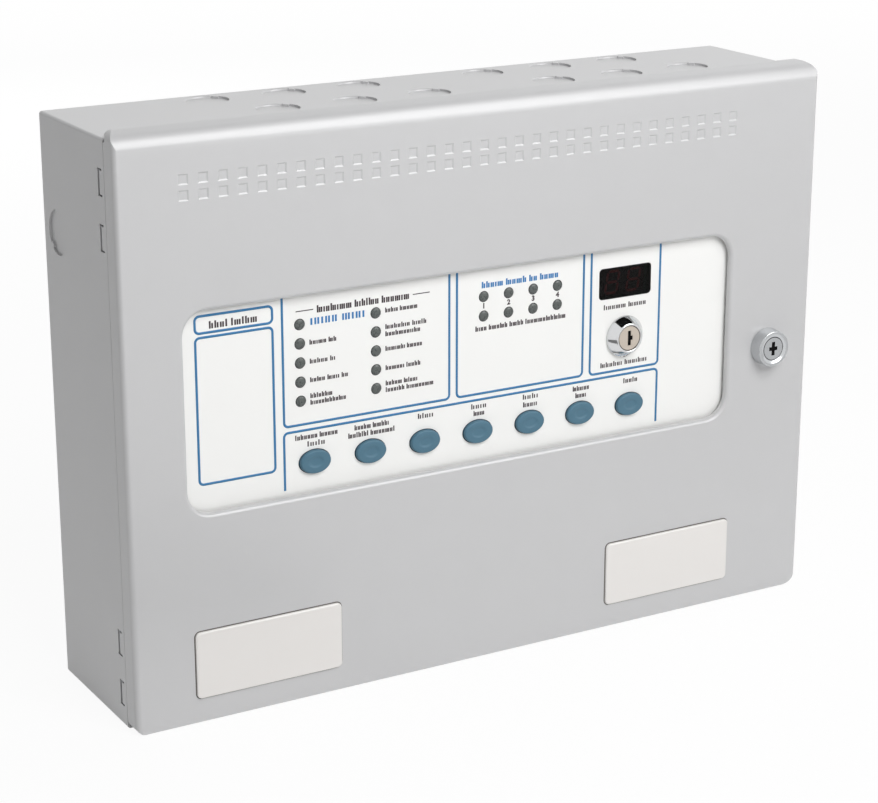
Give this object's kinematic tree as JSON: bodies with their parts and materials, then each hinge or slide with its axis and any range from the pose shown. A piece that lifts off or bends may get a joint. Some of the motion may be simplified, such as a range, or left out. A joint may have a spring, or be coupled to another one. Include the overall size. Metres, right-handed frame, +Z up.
{
  "type": "leak detection controller",
  "caption": "Wall-mounted leak detection control panel: folded steel case with a hinged, lockable lid whose window shows lamps, a display, a key switch and push buttons.",
  "frame": {"origin": "middle of the bounding box's bottom face, with the panel upright", "axes": "+X to the right across the lid's face, +Y back into the wall, +Z up"},
  "size_m": [0.385, 0.0954, 0.284],
  "materials": {
    "case_paint": "satin textured powder coat, light grey",
    "plate_film": "warm white, bare",
    "label_film": "white printed film",
    "lock_chrome": "satin chrome",
    "plug_nickel": "nickel-plated",
    "zinc_steel": "bright zinc",
    "lamp_lens": "grey tinted, unlit",
    "filter_smoke": "smoked acrylic",
    "digit_face": "dark face, unlit segments",
    "button_teal": "teal moulding",
    "board_green": "solder mask",
    "black_moulding": "black moulding",
    "terminal_green": "green moulding",
    "relay_blue": "blue moulding",
    "battery_case": "dark grey moulding",
    "tab_brass": "plain brass"
  },
  "bodies": {
    "case": {"back_box": "case_paint", "display_chassis": "zinc_steel", "chassis_screws": "zinc_steel", "display_label": "label_film", "status_lamps": "lamp_lens", "zone_lamps": "lamp_lens", "display_filter": "filter_smoke", "digit_module": "digit_face", "key_switch_body": "lock_chrome", "key_switch_nut": "zinc_steel", "key_switch_contacts": "black_moulding", "display_board": "board_green", "board_spacers": "zinc_steel", "board_screws": "zinc_steel", "push_switches": "black_moulding", "buzzer": "black_moulding", "terminal_board": "board_green", "terminal_spacers": "zinc_steel", "terminal_screws": "zinc_steel", "terminal_blocks": "terminal_green", "relays": "relay_blue", "fuse_holders": "black_moulding", "battery_left": "battery_case", "battery_right": "battery_case", "battery_tabs": "tab_brass", "battery_bracket": "zinc_steel", "battery_bracket_screws": "zinc_steel", "power_supply": "zinc_steel", "power_supply_screws": "zinc_steel", "mains_terminals": "black_moulding", "earth_stud": "tab_brass", "earth_nuts": "tab_brass"},
    "lid": {"lid": "case_paint", "hinge_bracket_lower": "zinc_steel", "hinge_bracket_upper": "zinc_steel", "name_plate_left": "plate_film", "name_plate_right": "plate_film", "lock_body": "lock_chrome", "lock_nut": "zinc_steel"},
    "lid_lock": {"lock_plug": "plug_nickel", "lock_cam": "zinc_steel", "lock_cam_screw": "zinc_steel"},
    "key_switch": {"key_switch_plug": "plug_nickel"},
    "button_1": {"button_1": "button_teal"},
    "button_2": {"button_2": "button_teal"},
    "button_3": {"button_3": "button_teal"},
    "button_4": {"button_4": "button_teal"},
    "button_5": {"button_5": "button_teal"},
    "button_6": {"button_6": "button_teal"},
    "button_7": {"button_7": "button_teal"}
  },
  "joints": [
    {"name": "lid_hinge", "type": "hinge", "parent": "case", "child": "lid", "pos_m": [-0.1925, -0.0296, 0.142], "axis": [0, 0, -1], "range_deg": [0, 105]},
    {"name": "lid_lock_turn", "type": "hinge", "parent": "lid", "child": "lid_lock", "pos_m": [0.1655, -0.04075, 0.13751], "axis": [0, -1, 0], "range_deg": [0, 90]},
    {"name": "key_switch_turn", "type": "hinge", "parent": "case", "child": "key_switch", "pos_m": [0.07939, -0.04075, 0.154], "axis": [0, 1, 0], "range_deg": [0, 90]},
    {"name": "button_1_press", "type": "slide", "parent": "case", "child": "button_1", "axis": [0, 1, 0], "range_m": [0, 0.0008], "stiffness_N_per_m": 400},
    {"name": "button_2_press", "type": "slide", "parent": "case", "child": "button_2", "axis": [0, 1, 0], "range_m": [0, 0.0008], "stiffness_N_per_m": 400},
    {"name": "button_3_press", "type": "slide", "parent": "case", "child": "button_3", "axis": [0, 1, 0], "range_m": [0, 0.0008], "stiffness_N_per_m": 400},
    {"name": "button_4_press", "type": "slide", "parent": "case", "child": "button_4", "axis": [0, 1, 0], "range_m": [0, 0.0008], "stiffness_N_per_m": 400},
    {"name": "button_5_press", "type": "slide", "parent": "case", "child": "button_5", "axis": [0, 1, 0], "range_m": [0, 0.0008], "stiffness_N_per_m": 400},
    {"name": "button_6_press", "type": "slide", "parent": "case", "child": "button_6", "axis": [0, 1, 0], "range_m": [0, 0.0008], "stiffness_N_per_m": 400},
    {"name": "button_7_press", "type": "slide", "parent": "case", "child": "button_7", "axis": [0, 1, 0], "range_m": [0, 0.0008], "stiffness_N_per_m": 400}
  ]
}
